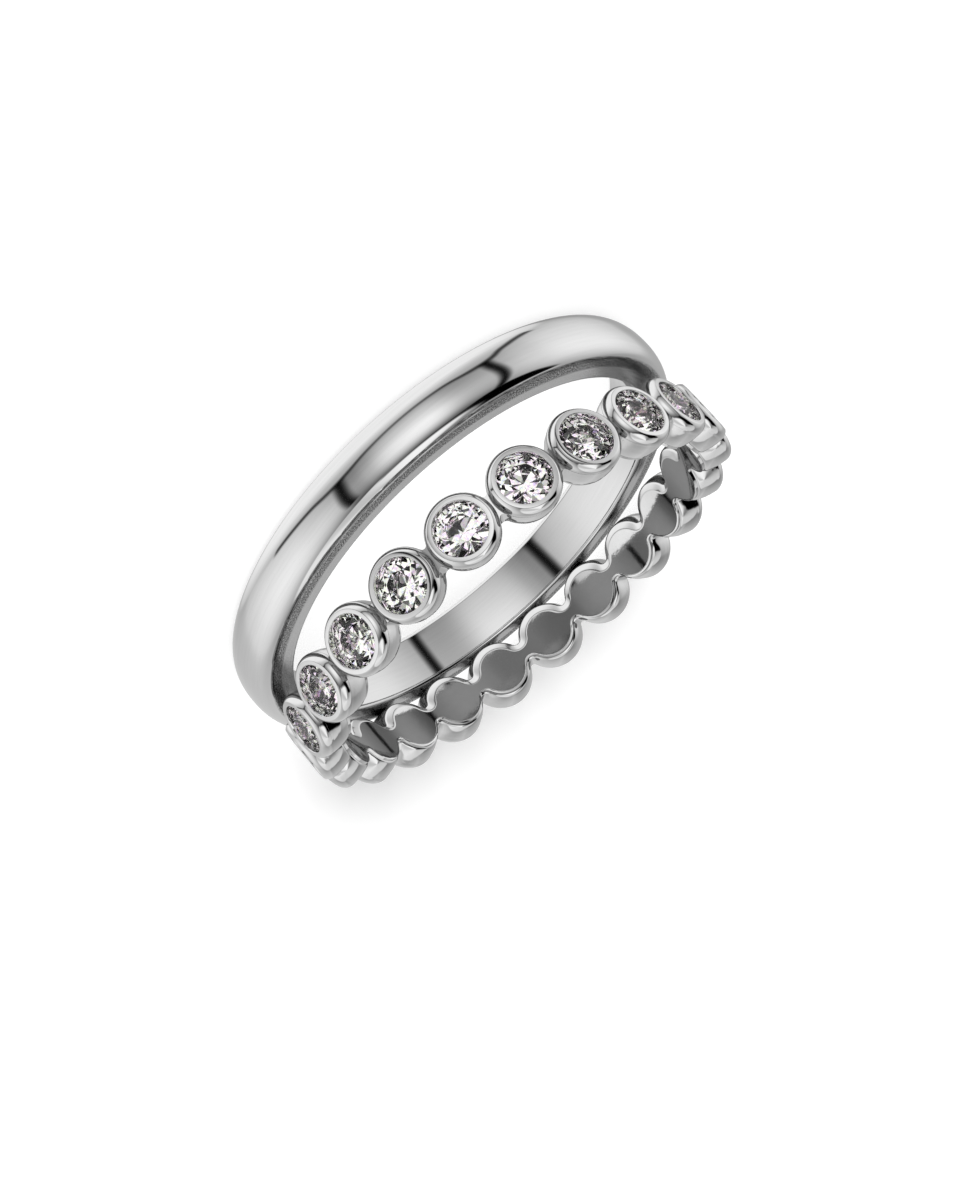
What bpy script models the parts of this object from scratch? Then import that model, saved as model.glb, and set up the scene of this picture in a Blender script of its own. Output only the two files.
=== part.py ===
"""Finger ring of two bands joined at the back, lying on its plain band.

The plain band is turned, with a straight bore, rounded inner edges, flat side faces and a domed outside.
The second band is a row of round cups on a slim base strip, each cup with a brilliant-cut stone. The row
leans: it rests on the plain band at +Y, where the two are soldered, and stands clear of it at -Y.
Metres, +Z up. The origin is on the plain band's axis, in the side face that the ring lies on.
"""

import math

import bmesh
import bpy
from mathutils import Matrix, Vector

MM = 0.001

# Plain band
FINGER_RADIUS = 8.60 * MM
BAND_WIDTH = 2.30 * MM
BAND_FACE_DEPTH = 0.90 * MM
BAND_DOME_HEIGHT = 0.68 * MM
BAND_EDGE_ROUND = 0.18 * MM
BAND_DOME_POWER = 2.3

# Place of the row against the plain band
ROW_TILT = math.radians(5.71)
ROW_TURN = math.radians(-1.05)
SOLDER_DEPTH = 0.05 * MM

# Base strip that links the cups
STRIP_HALF_WIDTH = 0.50 * MM
STRIP_LAND_HALF_WIDTH = 0.12 * MM
STRIP_BEVEL_DEPTH = 0.12 * MM
STRIP_THICKNESS = 1.08 * MM

# Stones
STONE_RADIUS = 0.98 * MM
STONE_TABLE_RADIUS = 0.55 * MM
STONE_STAR_RADIUS = 0.77 * MM
STONE_LOWER_RADIUS = 0.20 * MM
STONE_CROWN_HEIGHT = 0.29 * MM
STONE_GIRDLE_HEIGHT = 0.04 * MM
STONE_PAVILION_ANGLE = math.radians(40.8)
STONE_BELOW_CREST = 0.13 * MM

# Seats, cut into the cups around the stones
SEAT_CLEARANCE = 0.045 * MM
SEAT_LIP = 0.025 * MM
SEAT_FLARE = 0.045 * MM

# Cups: heights are measured from the bore outwards, along the cup's own axis
CREST_HEIGHT = 1.50 * MM
CREST_WIDTH = 0.09 * MM
RIM_SLOPE_WIDTH = 0.24 * MM
RIM_SLOPE_DROP = 0.10 * MM
RIM_THICKNESS = 0.28 * MM
RIM_STEP = 0.05 * MM
WALL_TAPER = 0.10 * MM
FOOT_BEVEL_WIDTH = 0.41 * MM
FOOT_BEVEL_HEIGHT = 0.17 * MM
CUP_GAP = 0.16 * MM

# Facets
BAND_SEGMENTS = 72
DOME_SEGMENTS = 6
EDGE_SEGMENTS = 2
STRIP_SEGMENTS = 66
CUP_SEGMENTS = 16
STONE_MAINS = 8

# Radii of a cup, from its opening outwards to its foot
LIP_RADIUS = STONE_RADIUS - SEAT_LIP
CREST_INNER_RADIUS = LIP_RADIUS + SEAT_FLARE
CREST_OUTER_RADIUS = CREST_INNER_RADIUS + CREST_WIDTH
RIM_RADIUS = CREST_OUTER_RADIUS + RIM_SLOPE_WIDTH
WALL_RADIUS = RIM_RADIUS - RIM_STEP
FOOT_RADIUS = WALL_RADIUS - WALL_TAPER

# Distances from the row's axis
FOOT_DISTANCE = FINGER_RADIUS + FOOT_BEVEL_HEIGHT
CREST_DISTANCE = FINGER_RADIUS + CREST_HEIGHT
RIM_TOP_DISTANCE = CREST_DISTANCE - RIM_SLOPE_DROP
WALL_TOP_DISTANCE = CREST_DISTANCE - RIM_THICKNESS
TABLE_DISTANCE = CREST_DISTANCE - STONE_BELOW_CREST
GIRDLE_TOP_DISTANCE = TABLE_DISTANCE - STONE_CROWN_HEIGHT
GIRDLE_FOOT_DISTANCE = GIRDLE_TOP_DISTANCE - STONE_GIRDLE_HEIGHT
CULET_DISTANCE = GIRDLE_FOOT_DISTANCE - STONE_RADIUS * math.tan(STONE_PAVILION_ANGLE)

CUP_COUNT = math.floor(math.tau * RIM_TOP_DISTANCE / (2 * RIM_RADIUS + CUP_GAP))


def cup_wall_radius(distance):
    """Outer radius of a cup's tapering wall at a distance from the row's axis."""
    share = (distance - FOOT_DISTANCE) / (WALL_TOP_DISTANCE - FOOT_DISTANCE)
    return FOOT_RADIUS + share * WALL_TAPER


# The row rests on the outer edge of the plain band's flat side face, and sinks in by the solder's depth
FACE_RADIUS = FINGER_RADIUS + BAND_FACE_DEPTH
ROW_HEIGHT = (
    BAND_WIDTH
    - SOLDER_DEPTH
    + FACE_RADIUS * math.sin(ROW_TILT)
    + cup_wall_radius(FACE_RADIUS) * math.cos(ROW_TILT)
)
ROW_FRAME = Matrix.Translation((0, 0, ROW_HEIGHT)) @ Matrix.Rotation(-ROW_TILT, 4, "X")


def clear_scene():
    for obj in list(bpy.data.objects):
        bpy.data.objects.remove(obj, do_unlink=True)


def make_material(name, color, metallic, roughness):
    mat = bpy.data.materials.new(name)
    mat.use_nodes = True
    shader = mat.node_tree.nodes["Principled BSDF"]
    shader.inputs["Base Color"].default_value = color
    shader.inputs["Metallic"].default_value = metallic
    shader.inputs["Roughness"].default_value = roughness
    return mat


def metal_material():
    """White metal with a bright plated polish."""
    return make_material("plated_silver", (0.80, 0.80, 0.81, 1), 1.0, 0.08)


def stone_material():
    """Colourless cut stone."""
    return make_material("clear_stone", (0.93, 0.93, 0.96, 1), 0.0, 0.02)


def add_object(name, bm, mat, matrix=None):
    """Turn a closed mesh's faces outwards and put it in the scene as a named object."""
    bmesh.ops.recalc_face_normals(bm, faces=bm.faces)
    mesh = bpy.data.meshes.new(name)
    bm.to_mesh(mesh)
    bm.free()
    mesh.materials.append(mat)
    obj = bpy.data.objects.new(name, mesh)
    if matrix is not None:
        obj.matrix_world = matrix
    bpy.context.collection.objects.link(obj)
    return obj


def add_guide(name, bm, mat, matrix):
    """Add a cutter or a guide, which isn't a piece of the ring."""
    obj = add_object(name, bm, mat, matrix)
    obj.hide_render = True
    obj.display_type = "WIRE"
    return obj


def add_boolean(obj, operation, tool):
    mod = obj.modifiers.new(operation.title() + " " + tool.name, "BOOLEAN")
    mod.operation = operation
    mod.solver = "EXACT"
    mod.object = tool


def turn_profile(bm, profile, segments, matrix):
    """Turn an outline of (radius, height) points about Z and place it with a matrix.

    An outline that starts and ends at zero radius becomes a solid; any other is closed into a ring.
    """
    rings = []
    for radius, height in profile:
        ring = []
        for i in range(segments if radius else 1):
            angle = math.tau * i / segments
            point = Vector((radius * math.cos(angle), radius * math.sin(angle), height))
            ring.append(bm.verts.new(matrix @ point))
        rings.append(ring)
    pairs = list(zip(rings, rings[1:]))
    if len(rings[0]) > 1:
        pairs.append((rings[-1], rings[0]))
    for lower, upper in pairs:
        for i in range(segments):
            j = (i + 1) % segments
            if len(lower) == 1:
                bm.faces.new((lower[0], upper[j], upper[i]))
            elif len(upper) == 1:
                bm.faces.new((lower[i], lower[j], upper[0]))
            else:
                bm.faces.new((lower[i], lower[j], upper[j], upper[i]))


def band_edge(height, side):
    """Rounded inner edge of the plain band at a side face, from the bore outwards."""
    arc = []
    for step in range(EDGE_SEGMENTS + 1):
        angle = math.pi / 2 * step / EDGE_SEGMENTS
        radius = FINGER_RADIUS + BAND_EDGE_ROUND * (1 - math.cos(angle))
        arc.append((radius, height - side * BAND_EDGE_ROUND * (1 - math.sin(angle))))
    return arc


def band_dome():
    """Outer section of the plain band, from its upper side face over the dome to the lower one."""
    half_width = BAND_WIDTH / 2
    power = 2 / BAND_DOME_POWER
    dome = []
    for step in range(DOME_SEGMENTS + 1):
        angle = math.pi * step / DOME_SEGMENTS
        bulge = max(math.sin(angle), 0) ** power
        across = math.copysign(abs(math.cos(angle)) ** power, math.cos(angle))
        dome.append((FACE_RADIUS + BAND_DOME_HEIGHT * bulge, half_width * (1 + across)))
    return dome


def band_profile():
    """Whole section of the plain band."""
    return band_edge(0, -1)[::-1] + band_edge(BAND_WIDTH, 1) + band_dome()


def strip_profile():
    """Section of the row's base strip, with bevels on both inner edges."""
    bevel = FINGER_RADIUS + STRIP_BEVEL_DEPTH
    outer = FINGER_RADIUS + STRIP_THICKNESS
    return [
        (FINGER_RADIUS, STRIP_LAND_HALF_WIDTH),
        (FINGER_RADIUS, -STRIP_LAND_HALF_WIDTH),
        (bevel, -STRIP_HALF_WIDTH),
        (outer, -STRIP_HALF_WIDTH),
        (outer, STRIP_HALF_WIDTH),
        (bevel, STRIP_HALF_WIDTH),
    ]


def cup_profile():
    """Outline of a cup before its seat and the bore are cut, as (radius, distance from the row's axis).

    The foot's bevel runs on to a point inside the bore, so that the bore cuts it cleanly.
    """
    bevel_slope = FOOT_BEVEL_HEIGHT / FOOT_BEVEL_WIDTH
    return [
        (0, FOOT_DISTANCE - FOOT_RADIUS * bevel_slope),
        (FOOT_RADIUS, FOOT_DISTANCE),
        (WALL_RADIUS, WALL_TOP_DISTANCE),
        (RIM_RADIUS, WALL_TOP_DISTANCE + RIM_STEP),
        (RIM_RADIUS, RIM_TOP_DISTANCE),
        (CREST_OUTER_RADIUS, CREST_DISTANCE),
        (0, CREST_DISTANCE),
    ]


def seat_profile():
    """Outline of a seat's cutter: cone, groove for the girdle, lip and flared opening."""
    groove = STONE_RADIUS + SEAT_CLEARANCE
    lip_distance = GIRDLE_TOP_DISTANCE + 2 * SEAT_CLEARANCE
    flare_slope = SEAT_FLARE / (CREST_DISTANCE - lip_distance)
    above = SEAT_CLEARANCE
    return [
        (0, CULET_DISTANCE - SEAT_CLEARANCE),
        (groove, GIRDLE_FOOT_DISTANCE),
        (groove, GIRDLE_TOP_DISTANCE + SEAT_CLEARANCE),
        (LIP_RADIUS, lip_distance),
        (CREST_INNER_RADIUS + above * flare_slope, CREST_DISTANCE + above),
        (0, CREST_DISTANCE + above),
    ]


def cup_frames():
    """A frame for each cup: origin on the row's axis, local Z along the cup's axis, outwards."""
    frames = []
    for number in range(CUP_COUNT):
        angle = math.pi / 2 + ROW_TURN + math.tau * number / CUP_COUNT
        frames.append(Matrix.Rotation(angle, 4, "Z") @ Matrix.Rotation(math.pi / 2, 4, "Y"))
    return frames


def make_cup_set(name, profile, mat):
    """One guide with all the cups, or with all the cutters of their seats."""
    bm = bmesh.new()
    for frame in cup_frames():
        turn_profile(bm, profile, CUP_SEGMENTS, frame)
    return add_guide(name, bm, mat, ROW_FRAME)


def make_bore_cutter(mat):
    reach = BAND_WIDTH + RIM_RADIUS
    profile = [(0, -reach), (FINGER_RADIUS, -reach), (FINGER_RADIUS, reach), (0, reach)]
    bm = bmesh.new()
    turn_profile(bm, profile, STRIP_SEGMENTS, Matrix())
    return add_guide("bore_cutter", bm, mat, ROW_FRAME)


def make_row(mat):
    """The row of settings: base strip with cups, then its bore and its seats cut out."""
    bm = bmesh.new()
    turn_profile(bm, strip_profile(), STRIP_SEGMENTS, Matrix())
    row = add_guide("row", bm, mat, ROW_FRAME)
    add_boolean(row, "UNION", make_cup_set("cups", cup_profile(), mat))
    add_boolean(row, "DIFFERENCE", make_bore_cutter(mat))
    add_boolean(row, "DIFFERENCE", make_cup_set("seats", seat_profile(), mat))
    return row


def make_joined_bands(mat):
    """The plain band with the row of settings soldered to its side face."""
    bm = bmesh.new()
    turn_profile(bm, band_profile(), BAND_SEGMENTS, Matrix())
    bands = add_object("joined_bands", bm, mat)
    add_boolean(bands, "UNION", make_row(mat))


def facet_ring(bm, radius, height, count, turn=0.0):
    """A ring of points, turned by a share of one step."""
    ring = []
    for i in range(count):
        angle = math.tau * (i + turn) / count
        ring.append(bm.verts.new((radius * math.cos(angle), radius * math.sin(angle), height)))
    return ring


def make_stone_mesh(mat):
    """Round brilliant: table, stars, kites, girdle facets and pavilion mains.

    The kites and the mains are flat, which sets how deep the points between them lie.
    """
    mains = STONE_MAINS
    between = math.cos(math.pi / mains)
    crown_slope = STONE_CROWN_HEIGHT / (STONE_RADIUS - STONE_TABLE_RADIUS)
    star_distance = TABLE_DISTANCE - crown_slope * (STONE_STAR_RADIUS * between - STONE_TABLE_RADIUS)
    pavilion_slope = math.tan(STONE_PAVILION_ANGLE)
    lower_distance = CULET_DISTANCE + pavilion_slope * STONE_LOWER_RADIUS * between

    bm = bmesh.new()
    table = facet_ring(bm, STONE_TABLE_RADIUS, TABLE_DISTANCE, mains)
    star = facet_ring(bm, STONE_STAR_RADIUS, star_distance, mains, 0.5)
    top = facet_ring(bm, STONE_RADIUS, GIRDLE_TOP_DISTANCE, 2 * mains)
    foot = facet_ring(bm, STONE_RADIUS, GIRDLE_FOOT_DISTANCE, 2 * mains)
    lower = facet_ring(bm, STONE_LOWER_RADIUS, lower_distance, mains, 0.5)
    culet = bm.verts.new((0, 0, CULET_DISTANCE))
    bm.faces.new(table)
    for i in range(mains):
        j = (i + 1) % mains
        a = 2 * i
        b = a + 1
        c = 2 * j
        bm.faces.new((table[i], star[i], table[j]))
        bm.faces.new((table[j], star[i], top[c], star[j]))
        bm.faces.new((star[i], top[a], top[b]))
        bm.faces.new((star[i], top[b], top[c]))
        bm.faces.new((top[a], foot[a], foot[b], top[b]))
        bm.faces.new((top[b], foot[b], foot[c], top[c]))
        bm.faces.new((foot[a], lower[i], foot[b]))
        bm.faces.new((foot[b], lower[i], foot[c]))
        bm.faces.new((foot[c], lower[i], culet, lower[j]))
    bmesh.ops.recalc_face_normals(bm, faces=bm.faces)
    mesh = bpy.data.meshes.new("brilliant")
    bm.to_mesh(mesh)
    bm.free()
    mesh.materials.append(mat)
    return mesh


def make_stones(mat):
    """A stone in each cup, as an object of its own."""
    mesh = make_stone_mesh(mat)
    for number, frame in enumerate(cup_frames(), start=1):
        stone = bpy.data.objects.new(f"stone_{number:02d}", mesh)
        stone.matrix_world = ROW_FRAME @ frame
        bpy.context.collection.objects.link(stone)


def main():
    clear_scene()
    make_joined_bands(metal_material())
    make_stones(stone_material())


main()
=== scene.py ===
"""Finger ring of two bands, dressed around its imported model.

A turned plain band carries a leaning row of bezel settings on a slim base strip, with a brilliant-cut stone
in each setting. Sizes are in metres. The ring lies on its plain band, whose axis is +Z.
"""

import math

import bmesh
import bpy
from mathutils import Matrix, Vector


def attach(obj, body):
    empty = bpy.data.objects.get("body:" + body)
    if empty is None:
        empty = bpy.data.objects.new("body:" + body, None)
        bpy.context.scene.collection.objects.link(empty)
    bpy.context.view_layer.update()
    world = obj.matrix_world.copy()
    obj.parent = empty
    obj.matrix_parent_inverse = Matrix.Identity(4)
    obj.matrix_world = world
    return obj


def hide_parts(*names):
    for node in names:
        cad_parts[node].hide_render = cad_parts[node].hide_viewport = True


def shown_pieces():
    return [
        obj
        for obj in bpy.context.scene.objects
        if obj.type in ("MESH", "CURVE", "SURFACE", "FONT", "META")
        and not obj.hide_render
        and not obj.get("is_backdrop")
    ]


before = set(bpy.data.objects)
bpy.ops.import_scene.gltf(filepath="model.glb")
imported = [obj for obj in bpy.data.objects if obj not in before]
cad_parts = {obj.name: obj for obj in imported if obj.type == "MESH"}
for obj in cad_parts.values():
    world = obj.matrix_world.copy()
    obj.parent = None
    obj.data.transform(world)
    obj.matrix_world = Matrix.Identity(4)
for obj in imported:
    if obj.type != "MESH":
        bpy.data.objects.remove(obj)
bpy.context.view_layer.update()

bl_info = {
    "name": "Two-Band Ring",
    "version": (1, 0, 0),
    "blender": (4, 5, 0),
    "location": "View3D > Sidebar > Ring",
    "description": "Models a ring of a plain band and a row of bezel-set stones, with its studio",
    "category": "Add Mesh",
}

MM = 0.001
MERGE = 0.001 * MM
STONE_NODES = sorted(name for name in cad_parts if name.startswith("stone_"))

# The tent's tones are set as they look on screen, and this power turns them into light.
TONE_POWER = 2.2
# How bright the tent is in a first reflection, and in a reflection of a reflection.
FIRST_GAIN = 1.18
REPEAT_GAIN = 0.41
# Heights in the tent's curves are shares of this many degrees.
CURVE_DEGREES = 100


def length(name, description, default_mm):
    """A length that shows in the panel, given in millimetres."""
    return bpy.props.FloatProperty(
        name=name, description=description, default=default_mm * MM, min=0, precision=5, unit="LENGTH"
    )


def angle(name, description, default_degrees):
    return bpy.props.FloatProperty(
        name=name, description=description, default=math.radians(default_degrees), unit="ROTATION"
    )


def steps(name, description, default):
    return bpy.props.IntProperty(name=name, description=description, default=default, min=3)


def linear(hex_colour):
    """Linear colour with alpha from an sRGB hex value."""
    channels = []
    for start in (1, 3, 5):
        value = int(hex_colour[start : start + 2], 16) / 255
        channels.append(value / 12.92 if value <= 0.04045 else ((value + 0.055) / 1.055) ** 2.4)
    return (*channels, 1.0)


class BandSizes(bpy.types.PropertyGroup):
    finger_radius: length("Finger radius", "Radius of the bore of both bands", 8.60)
    width: length("Width", "Height of the plain band as it lies", 2.30)
    face_depth: length("Face depth", "Radial width of the flat side faces", 0.90)
    dome_height: length("Dome height", "How far the dome stands out past the side faces", 0.68)
    edge_round: length("Edge round", "Radius of the two inner edges", 0.18)
    dome_power: bpy.props.FloatProperty(
        name="Dome power", description="2 gives an elliptic dome, more gives a fuller one", default=2.3
    )
    turn_steps: steps("Turn steps", "Steps round the band", 360)
    dome_steps: steps("Dome steps", "Steps across the dome", 72)
    edge_steps: steps("Edge steps", "Steps across each inner edge", 8)


class RowSizes(bpy.types.PropertyGroup):
    tilt: angle("Tilt", "Lean of the row against the plain band", 5.71)
    turn: angle("Turn", "Turn of the row about its own axis", -1.05)
    solder_depth: length("Solder depth", "How far the lowest cup sinks into the plain band", 0.05)
    neck: length("Neck", "Half the width of the gallery between two cups", 0.44)
    bevel_width: length("Bevel width", "Width of the gallery's bevel towards the plain band", 0.30)
    outer_bevel_width: length("Outer bevel width", "Width of the gallery's bevel on its free side", 0.13)
    bevel_depth: length("Bevel depth", "Radial depth of the gallery's inner bevel", 0.17)
    gallery_top: length("Gallery top", "Height of the gallery's webs above the bore", 1.05)
    contact_radius: length("Contact radius", "Radius of a cup where it rests on the plain band", 1.2495)
    edge_round: length("Edge round", "Radius of the gallery's bevelled edges", 0.05)
    well_margin: length("Well margin", "How much wider a well in the gallery is than the seat above it", 0.01)
    steps_per_cup: steps("Steps per cup", "Steps along the gallery for each cup", 40)


class CupSizes(bpy.types.PropertyGroup):
    lip: length("Lip", "How far the lip reaches over the stone", 0.025)
    crest_height: length("Crest height", "Height of the crest above the bore", 1.42)
    mouth: length("Mouth", "How far the opening widens from the lip to the crest", 0.04)
    mouth_round: length("Mouth round", "Radius of the opening's edge", 0.045)
    lip_round: length("Lip round", "Radius of the lip's lower edge", 0.015)
    rim: length("Rim", "Largest outer radius of the cup", 1.345)
    crown_round: length("Crown round", "Radius of the collar's gentle upper round", 1.2)
    crown_turn: angle("Crown turn", "Slope of the collar where its edge begins", 6)
    edge_round: length("Edge round", "Radius of the collar's edge", 0.07)
    edge_turn: angle("Edge turn", "Slope at which the collar's edge meets the outer round", 38)
    rim_round: length("Rim round", "Radius of the outer round down to the widest place", 0.427)
    body_taper: length("Body taper", "How much the body narrows down to the foot", 0.165)
    inset: length("Inset", "How far the body hides inside the gallery", 0.005)
    gap: length("Gap", "Smallest gap between two cups", 0.05)
    seat_clearance: length("Seat clearance", "Clearance round the stone in its seat", 0.045)
    turn_steps: steps("Turn steps", "Steps round a cup", 112)
    corner_steps: steps("Corner steps", "Steps round each corner of the section", 8)
    body_steps: steps("Body steps", "Steps down the body", 12)


class StoneSizes(bpy.types.PropertyGroup):
    radius: length("Radius", "Girdle radius", 0.98)
    table: length("Table", "Radius of the table's corners", 0.55)
    crown: length("Crown", "Height of the crown", 0.29)
    girdle: length("Girdle", "Height of the girdle", 0.04)
    pavilion: angle("Pavilion angle", "Slope of the pavilion's main facets", 40.8)
    crown_lean: angle("Crown lean", "How much steeper the upper girdle facets are than the main ones", 6.2)
    pavilion_lean: angle("Pavilion lean", "How much steeper the lower girdle facets are", 1.6)
    below_crest: length("Below crest", "How far the table lies below the cup's crest", 0.05)
    mains: steps("Main facets", "Number of main facets", 8)


class StageSizes(bpy.types.PropertyGroup):
    floor_size: length("Floor size", "Side of the floor", 4000)
    floor_glow: bpy.props.FloatProperty(name="Floor glow", description="Light from below", default=0.17)
    lens: bpy.props.FloatProperty(name="Lens", description="Focal length in millimetres", default=73.57)
    distance: length("Distance", "Distance of the camera from its target", 93)
    azimuth: angle("Azimuth", "Turn of the camera about the vertical, from the -Y side", 15.32)
    elevation: angle("Elevation", "Height of the camera above the horizon", 21.295)
    roll: angle("Roll", "Roll of the camera about its view direction", 137.51)
    aim_x: length("Aim X", "Camera target along X", 1.20)
    aim_y: length("Aim Y", "Camera target along Y", 0.0)
    aim_z: length("Aim Z", "Height of the camera target", 4.05)
    key_strength: bpy.props.FloatProperty(
        name="Key strength", description="Strength of the key light", default=7.6
    )
    key_spread: angle("Key spread", "Angular size of the key light", 14)
    key_lean: angle("Key lean", "Lean of the key light from the vertical", 75)
    key_turn: angle("Key turn", "Turn of the key light about the vertical, from the +X side", -84)
    shadow_reach: length("Shadow reach", "How far in front of the middle the +X end casts a shadow", 3)
    hole: angle("Hole", "Half angle of the dark hole round the camera that the stones see", 14.5)
    hole_blur: angle("Hole blur", "Half width of the hole's soft edge", 1.5)


def face_radius(band):
    return band.finger_radius + band.face_depth


class CupLevels:
    """Radii and distances from the row's axis of one cup, worked out from the sizes."""

    def __init__(self, scene):
        band, row, cup, stone = scene.ring_band, scene.ring_row, scene.ring_cup, scene.ring_stone
        self.lip = stone.radius - cup.lip
        self.rim = cup.rim
        self.foot = self.rim - cup.body_taper
        self.foot_distance = band.finger_radius + row.bevel_depth
        self.crest_distance = band.finger_radius + cup.crest_height
        to_edge = cup.rim_round - cup.edge_round
        to_crown = cup.crown_round - cup.edge_round
        self.edge_centre = (
            self.rim - cup.rim_round + to_edge * math.sin(cup.edge_turn),
            self.crest_distance - cup.crown_round + to_crown * math.cos(cup.crown_turn),
        )
        self.crown_radius = self.edge_centre[0] - to_crown * math.sin(cup.crown_turn)
        self.belly_distance = self.edge_centre[1] - to_edge * math.cos(cup.edge_turn)
        self.table_distance = self.crest_distance - stone.below_crest
        self.girdle_top_distance = self.table_distance - stone.crown
        self.girdle_foot_distance = self.girdle_top_distance - stone.girdle
        self.culet_distance = self.girdle_foot_distance - stone.radius * math.tan(stone.pavilion)
        half_pitch = self.rim + cup.gap / 2
        self.count = math.floor(math.pi / math.asin(half_pitch / self.belly_distance))

    def body_radius(self, distance):
        """Outer radius of the barrel-shaped body at a distance from the row's axis."""
        share = (self.belly_distance - distance) / (self.belly_distance - self.foot_distance)
        return self.rim - (self.rim - self.foot) * max(share, 0) ** 2


def row_frame(scene):
    """Frame of the row: its axis is local Z, and the lowest cup rests on the plain band's side face."""
    band, row = scene.ring_band, scene.ring_row
    rest_radius = face_radius(band)
    height = band.width - row.solder_depth + rest_radius * math.sin(row.tilt)
    height += row.contact_radius * math.cos(row.tilt)
    return Matrix.Translation((0, 0, height)) @ Matrix.Rotation(-row.tilt, 4, "X")


def cup_frames(scene):
    """Frame of each cup: origin on the row's axis, local Z along the cup's axis, outwards."""
    row = scene.ring_row
    count = CupLevels(scene).count
    place = row_frame(scene)
    frames = []
    for number in range(count):
        turn = math.pi / 2 + row.turn + math.tau * number / count
        frames.append(place @ Matrix.Rotation(turn, 4, "Z") @ Matrix.Rotation(math.pi / 2, 4, "Y"))
    return frames


def rounded(corners, corner_steps):
    """Points of an outline from (radius, height, fillet) corners, with an arc at each filleted one."""
    points = []
    for i, (x, y, fillet) in enumerate(corners):
        corner = Vector((x, y))
        if fillet == 0:
            points.append(corner)
            continue
        before = (Vector(corners[i - 1][:2]) - corner).normalized()
        after = (Vector(corners[(i + 1) % len(corners)][:2]) - corner).normalized()
        half = before.angle(after) / 2
        centre = corner + (before + after).normalized() * (fillet / math.sin(half))
        start = corner + before * (fillet / math.tan(half)) - centre
        sweep = start.angle_signed(corner + after * (fillet / math.tan(half)) - centre)
        for step in range(corner_steps + 1):
            points.append(centre + start @ Matrix.Rotation(sweep * step / corner_steps, 2))
    return points


def arc(centre, radius, first, last, arc_steps):
    """Points of an arc, its angles counted from the radial direction towards the axial one."""
    points = []
    for step in range(arc_steps + 1):
        turn = first + (last - first) * step / arc_steps
        points.append(Vector((centre[0] + radius * math.cos(turn), centre[1] + radius * math.sin(turn))))
    return points


def band_section(band):
    """Section of the plain band as (radius, height) points, from the bore outwards and round."""
    corner = band.edge_round
    lower = rounded(
        [(face_radius(band), 0, 0), (band.finger_radius, 0, corner), (band.finger_radius, band.width, 0)],
        band.edge_steps,
    )[1:-1]
    upper = [Vector((point.x, band.width - point.y)) for point in reversed(lower)]
    power = 2 / band.dome_power
    dome = []
    for step in range(band.dome_steps + 1):
        turn = math.pi * step / band.dome_steps
        bulge = max(math.sin(turn), 0) ** power
        across = math.copysign(abs(math.cos(turn)) ** power, math.cos(turn))
        dome.append(Vector((face_radius(band) + band.dome_height * bulge, band.width / 2 * (1 + across))))
    return lower + upper + dome


def gallery_half_width(along, reach, circle, neck):
    """Half width of the scalloped gallery, from its circles of the cups and the fillets between them.

    along is the distance from the middle of a cup and reach that of the neck between two cups.
    """
    fillet = (reach**2 + neck**2 - circle**2) / (2 * (circle - neck))
    if along < reach * circle / (circle + fillet):
        return math.sqrt(circle**2 - along**2)
    return neck + fillet - math.sqrt(fillet**2 - (reach - along) ** 2)


def gallery_rows(scene, bevel_width):
    """Rows on one side of the gallery's section, from the bore outwards.

    Each row is (distance from the row's axis, half width at a cup, half width at a neck). The first two keep
    the flat face flat under smooth shading, and the next ones round the two edges of the bevel.
    """
    band, row = scene.ring_band, scene.ring_row
    at = CupLevels(scene)
    inner = band.finger_radius
    outer = inner + row.bevel_depth
    top = inner + row.gallery_top
    edge = row.edge_round
    land = at.foot - bevel_width
    neck_land = row.neck - bevel_width
    middle = (outer + top) / 2
    return (
        (inner, land - edge, neck_land - edge),
        (inner, land - edge / 2, neck_land - edge / 2),
        (inner + 0.08 * edge, land, neck_land),
        (inner + 0.4 * edge, land + edge, neck_land + edge),
        (outer - 0.7 * edge, at.foot - 1.5 * edge, row.neck - 1.5 * edge),
        (outer - 0.3 * edge, at.foot - 0.7 * edge, row.neck - 0.7 * edge),
        (outer + 0.3 * edge, at.foot - 0.16 * edge, row.neck - 0.16 * edge),
        (outer + 1.2 * edge, at.body_radius(outer + 1.2 * edge), row.neck),
        (middle, at.body_radius(middle), row.neck),
        (top, at.body_radius(top), row.neck),
    )


def seat_section(scene, spare):
    """Section of a seat, from its groove down to under the culet, wider by a spare thickness."""
    cup, stone = scene.ring_cup, scene.ring_stone
    at = CupLevels(scene)
    groove = stone.radius + cup.seat_clearance + spare
    return [
        Vector((groove, at.girdle_top_distance + cup.seat_clearance)),
        Vector((groove, at.girdle_foot_distance)),
        Vector((0, at.culet_distance - cup.seat_clearance - spare)),
    ]


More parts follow.
